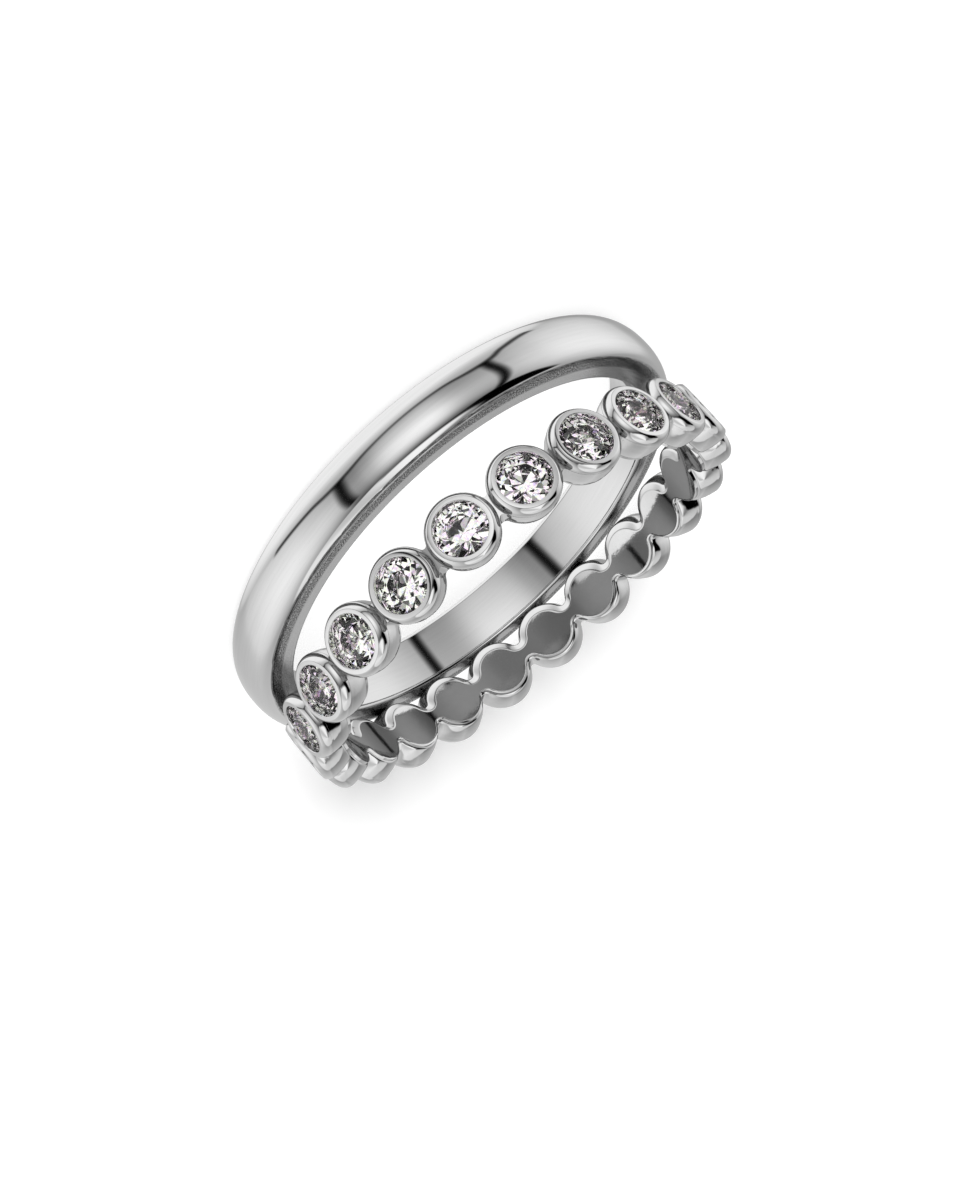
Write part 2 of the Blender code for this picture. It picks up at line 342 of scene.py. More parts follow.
def cup_section(scene):
    """Section of a cup as (radius, distance from the row's axis), from its foot up and into its seat."""
    cup, row = scene.ring_cup, scene.ring_row
    at = CupLevels(scene)
    foot = at.foot_distance - row.bevel_depth / 2
    start = at.foot_distance + row.bevel_depth / 2
    edge_low, edge_high = math.pi / 2 - cup.edge_turn, math.pi / 2 - cup.crown_turn
    body = [Vector((0, foot)), Vector((at.foot - row.bevel_width, foot))]
    for step in range(cup.body_steps + 1):
        distance = start + (at.belly_distance - start) * step / cup.body_steps
        hidden = cup.inset if distance < at.belly_distance else 0
        body.append(Vector((at.body_radius(distance) - hidden, distance)))
    belly_centre = (at.rim - cup.rim_round, at.belly_distance)
    outer = arc(belly_centre, cup.rim_round, 0, edge_low, 2 * cup.corner_steps)
    edge = arc(at.edge_centre, cup.edge_round, edge_low, edge_high, cup.corner_steps)
    crown = (at.crown_radius, at.crest_distance - cup.crown_round)
    upper = arc(crown, cup.crown_round, edge_high, math.pi / 2, cup.corner_steps)
    mouth = rounded(
        [
            (at.crown_radius, at.crest_distance, 0),
            (at.lip + cup.mouth, at.crest_distance, cup.mouth_round),
            (at.lip, at.girdle_top_distance + 2 * cup.seat_clearance, cup.lip_round),
            (at.lip + cup.lip + cup.seat_clearance, at.girdle_top_distance + cup.seat_clearance, 0),
        ],
        cup.corner_steps,
    )
    return body + outer[1:] + edge[1:] + upper[1:] + mouth[1:-1] + seat_section(scene, 0)


def start_mesh(name):
    """Add a small plane, merge it to one point at the origin and stay in edit mode."""
    bpy.ops.object.select_all(action="DESELECT")
    bpy.ops.mesh.primitive_plane_add(size=MM)
    bpy.context.object.name = name
    bpy.ops.object.mode_set(mode="EDIT")
    bpy.ops.mesh.merge(type="CENTER")
    return bpy.context.object


def turn_section(name, section, turn_steps, ring):
    """Draw a section in the XZ plane by extruding a point along it, and spin it about Z.

    A ring's section is closed into a loop first; any other starts and ends on the axis.
    """
    obj = start_mesh(name)
    bpy.ops.transform.translate(value=(section[0].x, 0, section[0].y))
    for here, there in zip(section, section[1:]):
        step = (there.x - here.x, 0, there.y - here.y)
        bpy.ops.mesh.extrude_region_move(TRANSFORM_OT_translate={"value": step})
    if ring:
        ends = bmesh.from_edit_mesh(obj.data)
        for vert in ends.verts:
            vert.select = len(vert.link_edges) == 1
        ends.select_flush_mode()
        bmesh.update_edit_mesh(obj.data)
        bpy.ops.mesh.edge_face_add()
    bpy.ops.mesh.select_all(action="SELECT")
    bpy.ops.mesh.spin(steps=turn_steps, angle=math.tau, center=(0, 0, 0), axis=(0, 0, 1))
    bpy.ops.mesh.select_all(action="SELECT")
    bpy.ops.mesh.remove_doubles(threshold=MERGE)
    bpy.ops.mesh.normals_make_consistent(inside=False)
    bpy.ops.object.mode_set(mode="OBJECT")
    return obj


def smooth(obj, sharp_degrees):
    bpy.ops.object.select_all(action="DESELECT")
    obj.select_set(True)
    bpy.context.view_layer.objects.active = obj
    bpy.ops.object.shade_smooth_by_angle(angle=math.radians(sharp_degrees))


def apply_place(obj, matrix):
    """Move a piece to its place and keep that place in its mesh."""
    bpy.ops.object.select_all(action="DESELECT")
    obj.select_set(True)
    bpy.context.view_layer.objects.active = obj
    obj.matrix_world = matrix
    bpy.ops.object.transform_apply(location=True, rotation=True, scale=True)


def copy_to(obj, name, matrix):
    """Copy a finished piece, with a mesh of its own, to another place."""
    bpy.ops.object.select_all(action="DESELECT")
    obj.select_set(True)
    bpy.context.view_layer.objects.active = obj
    bpy.ops.object.duplicate(linked=False)
    copy = bpy.context.object
    copy.name = name
    apply_place(copy, matrix)
    return copy


class RING_OT_plain_band(bpy.types.Operator):
    """Model the plain band"""

    bl_idname = "ring.plain_band"
    bl_label = "Plain Band"

    def execute(self, context):
        band = context.scene.ring_band
        obj = turn_section("plain_band", band_section(band), band.turn_steps, ring=True)
        smooth(obj, 30)
        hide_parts("joined_bands")
        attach(obj, "root")
        return {"FINISHED"}


class RING_OT_gallery(bpy.types.Operator):
    """Model the scalloped gallery that carries the cups and fills the webs between them"""

    bl_idname = "ring.gallery"
    bl_label = "Gallery"

    def execute(self, context):
        scene = context.scene
        row = scene.ring_row
        lower = gallery_rows(scene, row.bevel_width)
        upper = gallery_rows(scene, row.outer_bevel_width)
        count = CupLevels(scene).count
        section = [Vector((distance, -at_cup)) for distance, at_cup, _ in lower]
        section += [Vector((distance, at_cup)) for distance, at_cup, _ in reversed(upper)]
        stations = count * row.steps_per_cup
        obj = turn_section("gallery", section, stations, ring=True)
        bpy.ops.object.mode_set(mode="EDIT")
        mesh = bmesh.from_edit_mesh(obj.data)
        phases = {}
        for vert in mesh.verts:
            station = round(math.atan2(vert.co.y, vert.co.x) / math.tau * stations) % row.steps_per_cup
            phase = min(station, row.steps_per_cup - station)
            distance = math.hypot(vert.co.x, vert.co.y)
            side = upper if vert.co.z > 0 else lower
            misses = [abs(there - distance) + abs(half - abs(vert.co.z)) for there, half, _ in side]
            nearest = side[misses.index(min(misses))]
            phases.setdefault((phase, nearest), []).append(vert.index)
        for (phase, (distance, at_cup, at_neck)), members in phases.items():
            if phase == 0:
                continue
            along = distance * math.sin(math.tau * phase / stations)
            reach = distance * math.sin(math.pi / count)
            half = gallery_half_width(along, reach, at_cup, at_neck)
            mesh = bmesh.from_edit_mesh(obj.data)
            mesh.verts.ensure_lookup_table()
            bpy.ops.mesh.select_all(action="DESELECT")
            for index in members:
                mesh.verts[index].select = True
            mesh.select_flush_mode()
            bmesh.update_edit_mesh(obj.data)
            bpy.ops.transform.resize(value=(1, 1, half / at_cup), center_override=(0, 0, 0))
        bpy.ops.object.mode_set(mode="OBJECT")
        turn = Matrix.Rotation(math.pi / 2 + row.turn, 4, "Z")
        apply_place(obj, row_frame(scene) @ turn)
        self.open_under_stones(scene, obj)
        smooth(obj, 40)
        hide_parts("joined_bands")
        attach(obj, "root")
        return {"FINISHED"}

    def open_under_stones(self, scene, gallery):
        """Cut a well for each stone, hidden just inside the metal round its seat."""
        wells = seat_section(scene, scene.ring_row.well_margin)
        top = CupLevels(scene).crest_distance
        section = [Vector((0, top)), Vector((wells[0].x, top))] + wells[1:]
        well = turn_section("well", section, scene.ring_cup.turn_steps, ring=False)
        cutters = [copy_to(well, "cutter", place) for place in cup_frames(scene)]
        bpy.ops.object.select_all(action="DESELECT")
        for cutter in cutters:
            cutter.select_set(True)
        bpy.context.view_layer.objects.active = cutters[0]
        bpy.ops.object.join()
        bpy.ops.object.select_all(action="DESELECT")
        gallery.select_set(True)
        bpy.context.view_layer.objects.active = gallery
        cut = gallery.modifiers.new("Wells", "BOOLEAN")
        cut.operation = "DIFFERENCE"
        cut.solver = "EXACT"
        cut.object = cutters[0]
        bpy.ops.object.modifier_apply(modifier=cut.name)
        bpy.data.objects.remove(cutters[0], do_unlink=True)
        bpy.data.objects.remove(well, do_unlink=True)


class RING_OT_cups(bpy.types.Operator):
    """Model one cup and copy it round the row"""

    bl_idname = "ring.cups"
    bl_label = "Cups"

    def execute(self, context):
        scene = context.scene
        first = turn_section("cup", cup_section(scene), scene.ring_cup.turn_steps, ring=False)
        smooth(first, 30)
        for number, place in enumerate(cup_frames(scene), start=1):
            cup = copy_to(first, f"cup_{number:02d}", place)
            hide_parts("joined_bands")
            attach(cup, "root")
        bpy.data.objects.remove(first, do_unlink=True)
        return {"FINISHED"}


def facet(slope, turn, through):
    """Plane of one facet: its point and outward normal, from its slope, its turn and a point on it."""
    around = Vector((math.cos(turn), math.sin(turn), 0))
    normal = around * math.sin(slope) + Vector((0, 0, 1)) * math.cos(slope)
    radius, height = through
    return around * radius + Vector((0, 0, height)), normal


def grind(facets):
    """Cut the stone in edit mode with the plane of each facet, as a lapidary grinds it."""
    for point, normal in facets:
        bpy.ops.mesh.select_all(action="SELECT")
        bpy.ops.mesh.bisect(
            plane_co=point, plane_no=normal, use_fill=True, clear_outer=True, threshold=MERGE / 10
        )


def brilliant_facets(stone, at):
    """Planes of a round brilliant, with the girdle between the given distances."""
    mains = stone.mains
    step = math.tau / mains
    crown_slope = math.atan2(stone.crown, stone.radius - stone.table)
    girdle_top, girdle_foot = at.girdle_top_distance, at.girdle_foot_distance
    facets = [(Vector((0, 0, at.table_distance)), Vector((0, 0, 1)))]
    for i in range(mains):
        facets.append(facet(crown_slope, step * i, (stone.radius, girdle_top)))
    # The star facets end just outside the middle of the crown.
    star_radius = (stone.table + stone.radius) / 2 * 1.01
    for i in range(mains):
        drop = (star_radius * math.cos(step / 2) - stone.table) * math.tan(crown_slope)
        edge = stone.table * math.cos(step / 2)
        slope = math.atan2(drop, star_radius - edge)
        facets.append(facet(slope, step * (i + 0.5), (edge, at.table_distance)))
    for i in range(2 * mains):
        turn = step * (i + 0.5) / 2
        facets.append(facet(crown_slope + stone.crown_lean, turn, (stone.radius, girdle_top)))
    pavilion = math.pi - stone.pavilion
    for i in range(mains):
        facets.append(facet(pavilion, step * i, (stone.radius, girdle_foot)))
    for i in range(2 * mains):
        turn = step * (i + 0.5) / 2
        facets.append(facet(pavilion - stone.pavilion_lean, turn, (stone.radius, girdle_foot)))
    return facets


class RING_OT_stones(bpy.types.Operator):
    """Cut one brilliant and copy it into every cup"""

    bl_idname = "ring.stones"
    bl_label = "Stones"

    def execute(self, context):
        scene = context.scene
        stone = scene.ring_stone
        at = CupLevels(scene)
        bpy.ops.object.select_all(action="DESELECT")
        rough_low = at.culet_distance - stone.radius
        rough_high = at.table_distance + stone.radius
        bpy.ops.mesh.primitive_cylinder_add(
            vertices=64,
            radius=stone.radius,
            depth=rough_high - rough_low,
            location=(0, 0, (rough_high + rough_low) / 2),
        )
        first = bpy.context.object
        bpy.ops.object.transform_apply(location=True)
        bpy.ops.object.mode_set(mode="EDIT")
        grind(brilliant_facets(stone, at))
        bpy.ops.object.mode_set(mode="OBJECT")
        for node, place in zip(STONE_NODES, cup_frames(scene)):
            piece = copy_to(first, node.replace("stone", "brilliant"), place)
            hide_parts(node)
            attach(piece, "root")
        bpy.data.objects.remove(first, do_unlink=True)
        return {"FINISHED"}


def add_node(material, kind, settings=(), inputs=()):
    """Add a node with its settings, and a value or another node's output on each of the inputs."""
    tree = material.node_tree
    node = tree.nodes.new(kind)
    for name, value in dict(settings).items():
        setattr(node, name, value)
    for name, value in dict(inputs).items():
        if isinstance(value, bpy.types.NodeSocket):
            tree.links.new(value, node.inputs[name])
        else:
            node.inputs[name].default_value = value
    return node


def new_material(name):
    material = bpy.data.materials.new(name)
    material.use_nodes = True
    material.node_tree.nodes.clear()
    return material


def silver(material, marks, bump_distance, brushed=0.0, grain_and_painted_reflection=0.0):
    """Finish a material as rhodium-plated silver, with polishing marks from a 0 to 1 pattern.

    Where brushed is 1, the finish is brushed instead of polished, and its colour is painted darker where the
    last mask is 1: dark grain with a painted dark reflection.
    """
    polished = add_node(
        material, "ShaderNodeMapRange", {}, {"Value": marks, "To Min": 0.035, "To Max": 0.060}
    )
    matt = add_node(material, "ShaderNodeMapRange", {}, {"Value": marks, "To Min": 0.10, "To Max": 0.22})
    roughness = add_node(
        material, "ShaderNodeMix", {"data_type": "FLOAT"},
        {"Factor": brushed, "A": polished.outputs["Result"], "B": matt.outputs["Result"]},
    )
    tone = add_node(
        material, "ShaderNodeMix", {"data_type": "RGBA"},
        {0: marks, 6: linear("#EFEFEF"), 7: linear("#E2E2E2")},
    )
    # Painted dark reflection: the colour goes to charcoal where the last mask is 1, dark brushing grain with
    # a painted reflection of the row in it.
    tone = add_node(
        material, "ShaderNodeMix", {"data_type": "RGBA"},
        {0: grain_and_painted_reflection, 6: tone.outputs[2], 7: linear("#3C3C3C")},
    )
    bump = add_node(
        material, "ShaderNodeBump", {}, {"Strength": 1.0, "Distance": bump_distance, "Height": marks}
    )
    shader = add_node(
        material, "ShaderNodeBsdfPrincipled", {},
        {
            "Base Color": tone.outputs[2],
            "Metallic": 1.0,
            "Roughness": roughness.outputs["Result"],
            "Normal": bump.outputs["Normal"],
        },
    )
    add_node(material, "ShaderNodeOutputMaterial", {}, {"Surface": shader.outputs["BSDF"]})
    return material


def polished_silver():
    """Silver polished by hand: a bright mirror with faint, even clouds, as a buffing wheel leaves them."""
    material = new_material("rhodium_plated_silver")
    place = add_node(material, "ShaderNodeTexCoord").outputs["Object"]
    clouds = add_node(
        material, "ShaderNodeTexNoise", {},
        {"Vector": place, "Scale": 1 / (0.30 * MM), "Detail": 3.0, "Roughness": 0.6},
    )
    return silver(material, clouds.outputs["Fac"], 0.0009 * MM)


def turned_silver(band):
    """Silver polished on the lathe: a bright mirror with fine marks round the band.

    Its two side faces are brushed, with dark specks, and painted darker next to the dome: a painted
    reflection of the row over them.
    """
    material = new_material("lathe_polished_silver")
    place = add_node(material, "ShaderNodeTexCoord").outputs["Object"]
    parts = add_node(material, "ShaderNodeSeparateXYZ", {}, {"Vector": place})
    turn = add_node(
        material, "ShaderNodeMath", {"operation": "ARCTAN2"}, {0: parts.outputs["Y"], 1: parts.outputs["X"]}
    )
    # The pattern moves slowly round the band, which draws its specks out into lines.
    slow = add_node(material, "ShaderNodeMath", {"operation": "MULTIPLY"}, {0: turn.outputs[0], 1: 0.5 * MM})
    flat = add_node(
        material, "ShaderNodeCombineXYZ", {}, {"X": parts.outputs["X"], "Y": parts.outputs["Y"]}
    )
    radius = add_node(material, "ShaderNodeVectorMath", {"operation": "LENGTH"}, {0: flat.outputs[0]})
    rolled = add_node(
        material, "ShaderNodeCombineXYZ", {},
        {"X": radius.outputs["Value"], "Y": parts.outputs["Z"], "Z": slow.outputs[0]},
    )
    # Waves of 0.12 mm across the marks, with finer ones on them.
    lines = add_node(
        material, "ShaderNodeTexNoise", {},
        {"Vector": rolled.outputs[0], "Scale": 1 / (0.12 * MM), "Detail": 4.0, "Roughness": 0.65},
    )
    away = add_node(
        material, "ShaderNodeMath", {"operation": "SUBTRACT"}, {0: parts.outputs["Z"], 1: band.width / 2}
    )
    away = add_node(material, "ShaderNodeMath", {"operation": "ABSOLUTE"}, {0: away.outputs[0]})
    face = add_node(
        material, "ShaderNodeMapRange", {},
        {
            "Value": away.outputs[0],
            "From Min": band.width / 2 - 0.03 * MM,
            "From Max": band.width / 2 - 0.005 * MM,
        },
    )
    depth = add_node(
        material, "ShaderNodeMapRange", {},
        {"Value": face.outputs["Result"], "To Min": 0.00006 * MM, "To Max": 0.0080 * MM},
    )
    # Painted dark reflection: the side faces darken towards the dome, where they would mirror the row
    # standing over them.
    dome_side_painted_reflection = add_node(
        material, "ShaderNodeMapRange", {"interpolation_type": "SMOOTHSTEP"},
        {
            "Value": radius.outputs["Value"],
            "From Min": face_radius(band) - 0.34 * MM,
            "From Max": face_radius(band) - 0.20 * MM,
            "To Min": 0.08,
            "To Max": 0.95,
        },
    )
    # Brushing leaves scratches of about 0.01 mm. They are drawn as coarse as the render needs.
    specks = add_node(
        material, "ShaderNodeTexNoise", {}, {"Vector": place, "Scale": 1 / (0.05 * MM), "Detail": 2.0}
    )
    # The brushing specks are scaled by this painted dark band, so they show darkest next to the dome.
    grain = add_node(
        material, "ShaderNodeMapRange", {},
        {
            "Value": specks.outputs["Fac"],
            "From Min": 0.36,
            "From Max": 0.56,
            "To Max": dome_side_painted_reflection.outputs["Result"],
        },
    )
    grain_and_painted_reflection = add_node(
        material, "ShaderNodeMath", {"operation": "MULTIPLY"},
        {0: grain.outputs["Result"], 1: face.outputs["Result"]},
    )
    return silver(
        material, lines.outputs["Fac"], depth.outputs["Result"], face.outputs["Result"], grain_and_painted_reflection.outputs[0]
    )


def cubic_zirconia():
    """Clear cubic zirconia: sharp polished facets that sparkle, with faint flecks of spectral colour painted
    in as fire.
    """
    material = new_material("cubic_zirconia")
    place = add_node(material, "ShaderNodeTexCoord").outputs["Object"]
    # Painted fire: coloured flecks in the stone's colour stand in for the spectral light that dispersion
    # throws from its facets.
    fire_noise = add_node(
        material, "ShaderNodeTexNoise", {}, {"Vector": place, "Scale": 1 / (0.16 * MM), "Detail": 1.0}
    )
    painted_fire = add_node(material, "ShaderNodeValToRGB", {}, {"Fac": fire_noise.outputs["Fac"]})
    painted_fire_colours = ("#DCD0FF", "#FFDCEC", "#FFFFFF", "#FFFFFF", "#F4FFD6", "#D8E2FF")
    for i, colour in enumerate(painted_fire_colours):
        stop = 0.30 + 0.08 * i
        element = painted_fire.color_ramp.elements[i] if i < 2 else painted_fire.color_ramp.elements.new(stop)
        element.position = stop
        element.color = linear(colour)
    shader = add_node(
        material, "ShaderNodeBsdfPrincipled", {},
        {
            "Base Color": painted_fire.outputs["Color"],
            "Roughness": 0.0,
            "IOR": 2.17,
            "Specular Tint": linear("#909090"),
            "Transmission Weight": 1.0,
        },
    )
    add_node(material, "ShaderNodeOutputMaterial", {}, {"Surface": shader.outputs["BSDF"]})
    return material


def white_acrylic(glow):
    """Matt white acrylic sheet, lit a little from below too, so that it shows as plain white."""
    material = new_material("white_acrylic")
    place = add_node(material, "ShaderNodeTexCoord").outputs["Object"]
    grain = add_node(
        material, "ShaderNodeTexNoise", {}, {"Vector": place, "Scale": 1 / (2 * MM), "Detail": 2.0}
    )
    roughness = add_node(
        material, "ShaderNodeMapRange", {}, {"Value": grain.outputs["Fac"], "To Min": 0.55, "To Max": 0.65}
    )
    shader = add_node(
        material, "ShaderNodeBsdfPrincipled", {},
        {
            "Base Color": linear("#F4F4F4"),
            "Roughness": roughness.outputs["Result"],
            "Emission Color": linear("#FFFFFF"),
            "Emission Strength": glow,
        },
    )
    add_node(material, "ShaderNodeOutputMaterial", {}, {"Surface": shader.outputs["BSDF"]})
    return material


def paint(obj, material):
    obj.data.materials.clear()
    obj.data.materials.append(material)


class RING_OT_materials(bpy.types.Operator):
    """Give every piece its material"""

    bl_idname = "ring.materials"
    bl_label = "Materials"

    def execute(self, context):
        polished = polished_silver()
        turned = turned_silver(context.scene.ring_band)
        clear = cubic_zirconia()
        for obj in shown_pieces():
            if obj.name.startswith("brilliant"):
                paint(obj, clear)
            else:
                paint(obj, turned if obj.name == "plain_band" else polished)
        return {"FINISHED"}


def along_turn(world, turn, points):
    """A value that changes with the turn, in degrees from -180 to 180, through listed points."""
    share = add_node(world, "ShaderNodeMapRange", {}, {"Value": turn, "From Min": -180, "From Max": 180})
    node = add_node(world, "ShaderNodeFloatCurve", {}, {"Value": share.outputs["Result"]})
    curve = node.mapping.curves[0]
    places = [((degrees + 180) / 360, value) for degrees, value in points]
    curve.points[0].location = places[0]
    curve.points[1].location = places[-1]
    for place in places[1:-1]:
        curve.points.new(*place)
    node.mapping.update()
    return node.outputs["Value"]


def line_at(world, value, centre, reach, depth):
    """A factor of 1 that dips by the depth, softly, where a value passes a centre."""
    away = add_node(world, "ShaderNodeMath", {"operation": "SUBTRACT"}, {0: value, 1: centre})
    apart = add_node(world, "ShaderNodeMath", {"operation": "ABSOLUTE"}, {0: away.outputs[0]})
    dip = add_node(
        world, "ShaderNodeMapRange", {"interpolation_type": "SMOOTHSTEP"},
        {"Value": apart.outputs[0], "From Min": 0, "From Max": reach, "To Min": depth, "To Max": 0},
    )
    left = add_node(world, "ShaderNodeMath", {"operation": "SUBTRACT"}, {0: 1.0, 1: dip.outputs["Result"]})
    return left.outputs[0]


def tent_directions(world):
    """Turn from the -Y side and height above the horizon of each direction, in degrees."""
    direction = add_node(world, "ShaderNodeTexCoord").outputs["Generated"]
    parts = add_node(world, "ShaderNodeSeparateXYZ", {}, {"Vector": direction})
    front = add_node(world, "ShaderNodeMath", {"operation": "MULTIPLY"}, {0: parts.outputs["Y"], 1: -1})
    turn = add_node(
        world, "ShaderNodeMath", {"operation": "ARCTAN2"}, {0: parts.outputs["X"], 1: front.outputs[0]}
    )
    turn = add_node(world, "ShaderNodeMath", {"operation": "DEGREES"}, {0: turn.outputs[0]})
    height = add_node(world, "ShaderNodeMath", {"operation": "ARCSINE"}, {0: parts.outputs["Z"]})
    height = add_node(world, "ShaderNodeMath", {"operation": "DEGREES"}, {0: height.outputs[0]})
    return direction, turn.outputs[0], height.outputs[0]


def tent_walls(world, turn, height):
    """Glowing walls, brightest in the middle of each, with upright seams between them."""
    middle = along_turn(world, turn, (
        (-180, 0.78), (-137, 0.66), (-120, 0.82), (-87, 0.93), (-60, 0.83), (-45, 0.74), (-30, 0.70),
        (-2, 0.96), (27, 0.68), (38, 0.58), (44, 0.75), (60, 0.86), (82, 0.93), (120, 0.85), (137, 0.75),
        (180, 0.78),
    ))
    droop = along_turn(world, turn, (
        (-180, 0.04), (-120, 0.10), (-60, 0.17), (-35, 0.28), (0, 0.33), (35, 0.28), (60, 0.17),
        (180, 0.04),
    ))
    # A wall fades with the square of its height over a line just under the horizon.
    away = add_node(world, "ShaderNodeMath", {"operation": "ADD"}, {0: height, 1: 3})
    away = add_node(world, "ShaderNodeMath", {"operation": "DIVIDE"}, {0: away.outputs[0], 1: 30})
    square = add_node(world, "ShaderNodeMath", {"operation": "POWER"}, {0: away.outputs[0], 1: 2})
    fall = add_node(world, "ShaderNodeMath", {"operation": "MULTIPLY"}, {0: square.outputs[0], 1: droop})
    keep = add_node(
        world, "ShaderNodeMath", {"operation": "SUBTRACT", "use_clamp": True}, {0: 1, 1: fall.outputs[0]}
    )
    wall = add_node(world, "ShaderNodeMath", {"operation": "MULTIPLY"}, {0: middle, 1: keep.outputs[0]})
    for centre, reach, depth, top in ((-43, 5.0, 0.85, 60), (40, 5.4, 0.82, 26)):
        seam = line_at(world, turn, centre, reach, depth)
        start = add_node(
            world, "ShaderNodeMapRange", {"interpolation_type": "SMOOTHSTEP"},
            {"Value": height, "From Min": -33, "From Max": -29},
        )
        end = add_node(
            world, "ShaderNodeMapRange", {"interpolation_type": "SMOOTHSTEP"},
            {"Value": height, "From Min": top - 6, "From Max": top, "To Min": 1, "To Max": 0},
        )
        shown = add_node(
            world, "ShaderNodeMath", {"operation": "MULTIPLY"},
            {0: start.outputs["Result"], 1: end.outputs["Result"]},
        )
        factor = add_node(
            world, "ShaderNodeMix", {"data_type": "FLOAT"}, {"Factor": shown.outputs[0], "A": 1.0, "B": seam}
        )
        wall = add_node(
            world, "ShaderNodeMath", {"operation": "MULTIPLY"},
            {0: wall.outputs[0], 1: factor.outputs["Result"]},
        )
    return wall.outputs[0]


def tent_ground(world, turn, height, wall):
    """The wall with the tent's ground below it, and a dark line where the two meet."""
    edge = along_turn(world, turn, (
        (-180, 0.42), (-85, 0.43), (-60, 0.37), (-41, 0.295), (-20, 0.345), (0, 0.36), (20, 0.335),
        (40, 0.295), (60, 0.345), (88, 0.385), (180, 0.42),
    ))
    above = add_node(
        world, "ShaderNodeMath", {"operation": "MULTIPLY_ADD"}, {0: edge, 1: CURVE_DEGREES, 2: height}
    )
    ground = add_node(
        world, "ShaderNodeMapRange", {"interpolation_type": "SMOOTHSTEP"},
        {"Value": height, "From Min": -58, "From Max": -30, "To Min": 0.93, "To Max": 0.65},
    )
    is_wall = add_node(
        world, "ShaderNodeMapRange", {"interpolation_type": "SMOOTHSTEP"},
        {"Value": above.outputs[0], "From Min": -2, "From Max": 2},
    )
    both = add_node(
        world, "ShaderNodeMix", {"data_type": "FLOAT"},
        {"Factor": is_wall.outputs["Result"], "A": ground.outputs["Result"], "B": wall},
    )
    depth = along_turn(world, turn, (
        (-180, 0), (-92, 0), (-86, 0.6), (-40, 0.62), (0, 0.40), (40, 0.6), (86, 0.65), (92, 0), (180, 0),
    ))
    dip = line_at(world, above.outputs[0], 0, 4.2, 1.0)
    line = add_node(world, "ShaderNodeMix", {"data_type": "FLOAT"}, {"Factor": depth, "A": 1.0, "B": dip})
    lined = add_node(
        world, "ShaderNodeMath", {"operation": "MULTIPLY"},
        {0: both.outputs["Result"], 1: line.outputs["Result"]},
    )
    return lined.outputs[0]


def tent_ceiling(world, turn, height, below):
    """The tent's ceiling over what is below it, behind a dark gap above the front and left walls."""
    gap_low = along_turn(world, turn, (
        (-180, 0.60), (-105, 0.46), (-80, 0.395), (-60, 0.33), (-42, 0.30), (-20, 0.35), (0, 0.36),
        (25, 0.36), (60, 0.40), (180, 0.6),
    ))
    gap_high = along_turn(world, turn, (
        (-180, 0.50), (-105, 0.47), (-90, 0.53), (-62, 0.62), (-45, 0.53), (-30, 0.475), (0, 0.445),
        (25, 0.42), (60, 0.42), (180, 0.5),
    ))
    over = []
    for edge, low, high in ((gap_low, -1.5, 4), (gap_high, -4, 6)):
        above = add_node(
            world, "ShaderNodeMath", {"operation": "MULTIPLY_ADD"}, {0: edge, 1: -CURVE_DEGREES, 2: height}
        )
        step = add_node(
            world, "ShaderNodeMapRange", {"interpolation_type": "SMOOTHSTEP"},
            {"Value": above.outputs[0], "From Min": low, "From Max": high},
        )
        over.append(step.outputs["Result"])
    gap_depth = along_turn(world, turn, (
        (-180, 0), (-108, 0), (-96, 0.82), (-85, 0.97), (-40, 0.97), (-22, 0.76), (10, 0.70), (24, 0.58),
        (34, 0), (180, 0),
    ))
    ceiling = along_turn(world, turn, (
        (-180, 0.80), (-120, 0.78), (-80, 0.62), (-55, 0.5), (-25, 0.9), (0, 0.97), (25, 0.9), (50, 0.75),
        (90, 0.9), (130, 0.85), (180, 0.80),
    ))
    both = add_node(
        world, "ShaderNodeMix", {"data_type": "FLOAT"}, {"Factor": over[0], "A": below, "B": ceiling}
    )
    in_gap = add_node(
        world, "ShaderNodeMath", {"operation": "SUBTRACT", "use_clamp": True}, {0: over[0], 1: over[1]}
    )
    dark = add_node(world, "ShaderNodeMath", {"operation": "MULTIPLY"}, {0: in_gap.outputs[0], 1: gap_depth})
    lit = add_node(world, "ShaderNodeMath", {"operation": "SUBTRACT"}, {0: 1.0, 1: dark.outputs[0]})
    glow = add_node(
        world, "ShaderNodeMath", {"operation": "MULTIPLY"}, {0: both.outputs["Result"], 1: lit.outputs[0]}
    )
    return glow.outputs[0]


